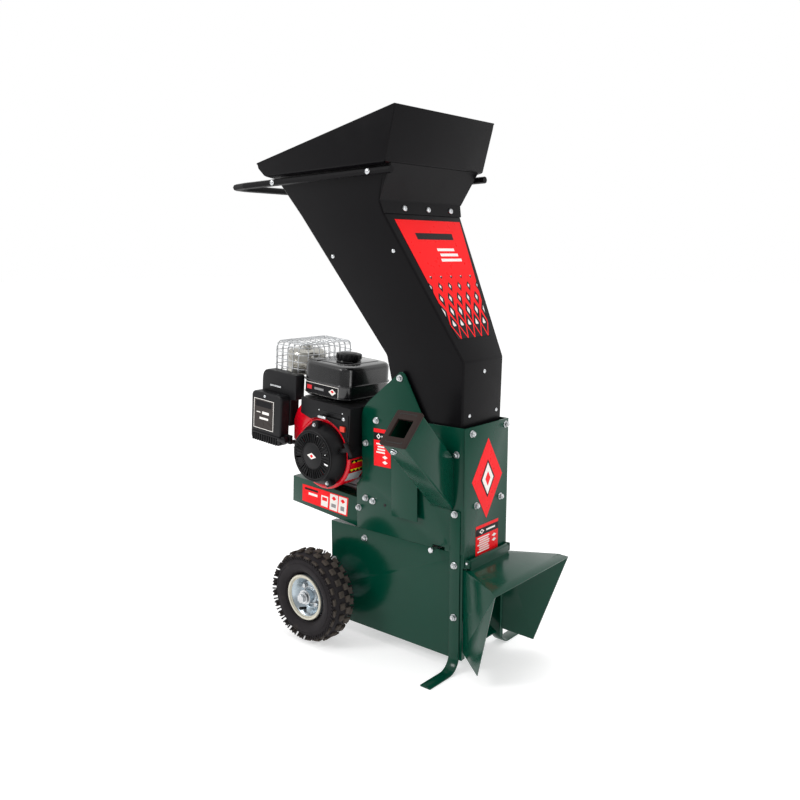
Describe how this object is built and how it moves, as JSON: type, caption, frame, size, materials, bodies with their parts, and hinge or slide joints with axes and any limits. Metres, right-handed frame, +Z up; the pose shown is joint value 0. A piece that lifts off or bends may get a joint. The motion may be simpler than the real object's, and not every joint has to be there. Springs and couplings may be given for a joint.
{
  "type": "wood chipper",
  "caption": "Petrol wood chipper and shredder on two wheels: tall feed hopper, angled branch chute, belt-driven rotor, engine on a deck and a hinged discharge hood.",
  "frame": {"origin": "middle of the outline box, on the ground", "axes": "+X the way the chips leave, +Y away from the branch chute's side, +Z up"},
  "size_m": [0.874, 0.5242, 1.376],
  "materials": {
    "green_enamel": "glossy baked enamel",
    "black_powder_coat": "satin powder coat",
    "mouth_rubber": "matt moulded",
    "black_moulding": "fine grained",
    "tank_plastic": "smooth glossy",
    "red_shroud": "glossy",
    "red_switch": "glossy",
    "zinc_plate": "bright zinc plate",
    "cast_alloy": "as cast",
    "cast_iron": "turned",
    "bare_steel": "rolled",
    "tool_steel": "ground",
    "belt_rubber": "matt",
    "tyre_rubber": "matt",
    "rim_enamel": "satin"
  },
  "bodies": {
    "chassis": {"engine_platform": "green_enamel", "crankcase": "cast_alloy", "cylinder": "cast_alloy", "cylinder_head": "cast_alloy", "spark_plug": "bare_steel", "blower_housing": "red_shroud", "recoil_cover": "black_moulding", "fuel_tank": "tank_plastic", "control_panel": "black_moulding", "air_cleaner_body": "black_moulding", "air_cleaner_cover": "black_moulding", "muffler": "bare_steel", "muffler_guard": "zinc_plate", "near_side_plate": "green_enamel", "far_side_plate": "green_enamel", "front_panel": "green_enamel", "rear_panel": "green_enamel", "lower_panel_near": "green_enamel", "lower_panel_far": "green_enamel", "lower_rear_panel": "green_enamel", "chip_ramp": "green_enamel", "leg_near": "green_enamel", "leg_far": "green_enamel", "deflector_hinge_rod": "zinc_plate", "chipper_chute": "green_enamel", "chute_mouth_guard": "mouth_rubber", "chute_strut": "green_enamel", "hopper_chute": "black_powder_coat", "hopper_top": "black_powder_coat", "hopper_handle": "black_powder_coat", "rotor_bearing_near": "cast_alloy", "rotor_bearing_far": "cast_alloy", "discharge_screen": "bare_steel", "drive_belt": "belt_rubber", "belt_guard": "green_enamel", "wheel_axle": "zinc_plate"},
    "rotor": {"rotor_shaft": "bare_steel", "chipper_disc": "bare_steel", "chipping_blade_1": "tool_steel", "chipping_blade_2": "tool_steel", "shredding_knife_1": "tool_steel", "shredding_knife_2": "tool_steel", "rotor_pulley": "cast_iron"},
    "crank": {"crankshaft": "bare_steel", "cooling_fan": "cast_alloy", "engine_pulley": "cast_iron"},
    "wheel_near": {"tyre_near": "tyre_rubber", "rim_near": "rim_enamel"},
    "wheel_far": {"tyre_far": "tyre_rubber", "rim_far": "rim_enamel"},
    "deflector": {"discharge_deflector": "green_enamel"},
    "pin": {"screen_pin": "zinc_plate"},
    "cap": {"fuel_cap": "black_moulding"},
    "oil_plug": {"oil_fill_plug": "black_moulding"},
    "throttle": {"throttle_lever": "black_moulding"},
    "choke": {"choke_lever": "black_moulding"},
    "stop": {"stop_switch": "red_switch"},
    "starter": {"starter_grip": "black_moulding"},
    "cleaner_knob": {"air_cleaner_knob": "black_moulding"}
  },
  "joints": [
    {"name": "rotor_spin", "type": "hinge", "parent": "chassis", "child": "rotor", "pos_m": [0.116, 0.02713, 0.44], "axis": [0, 1, 0], "continuous": true},
    {"name": "crank_spin", "type": "hinge", "parent": "chassis", "child": "crank", "pos_m": [-0.159, 0.02713, 0.505], "axis": [0, 1, 0], "continuous": true},
    {"name": "wheel_near_spin", "type": "hinge", "parent": "chassis", "child": "wheel_near", "pos_m": [-0.139, -0.16587, 0.127], "axis": [0, 1, 0], "continuous": true},
    {"name": "wheel_far_spin", "type": "hinge", "parent": "chassis", "child": "wheel_far", "pos_m": [-0.139, 0.22013, 0.127], "axis": [0, 1, 0], "continuous": true},
    {"name": "deflector_lift", "type": "hinge", "parent": "chassis", "child": "deflector", "pos_m": [0.303, 0.02713, 0.291], "axis": [0, -1, 0], "range_deg": [0, 70]},
    {"name": "screen_pin_pull", "type": "slide", "parent": "chassis", "child": "pin", "axis": [0, -1, 0], "range_m": [0, 0.034]},
    {"name": "fuel_cap_turn", "type": "hinge", "parent": "chassis", "child": "cap", "pos_m": [-0.15555, 0.00713, 0.76553], "axis": [0.0785, 0, 0.9969], "range_deg": [0, 90]},
    {"name": "oil_plug_turn", "type": "hinge", "parent": "chassis", "child": "oil_plug", "pos_m": [-0.08894, 0.04713, 0.4393], "axis": [0.9969, 0, -0.0785], "range_deg": [0, 270]},
    {"name": "throttle_slide", "type": "slide", "parent": "chassis", "child": "throttle", "axis": [0.9969, 0, -0.0785], "range_m": [-0.012, 0.046]},
    {"name": "choke_swing", "type": "hinge", "parent": "chassis", "child": "choke", "pos_m": [-0.27103, -0.09987, 0.52184], "axis": [0, 1, 0], "range_deg": [0, 35]},
    {"name": "stop_slide", "type": "slide", "parent": "chassis", "child": "stop", "axis": [0.0785, 0, 0.9969], "range_m": [0, 0.006]},
    {"name": "starter_pull", "type": "slide", "parent": "chassis", "child": "starter", "axis": [0.9681, 0, 0.2504], "range_m": [0, 0.08], "stiffness_N_per_m": 20},
    {"name": "cleaner_knob_turn", "type": "hinge", "parent": "chassis", "child": "cleaner_knob", "pos_m": [-0.27423, -0.12287, 0.53212], "axis": [0, 1, 0], "range_deg": [0, 180]}
  ],
  "couplings": [
    {"joint": "crank_spin", "follows": "rotor_spin", "ratio": 1.4902}
  ]
}
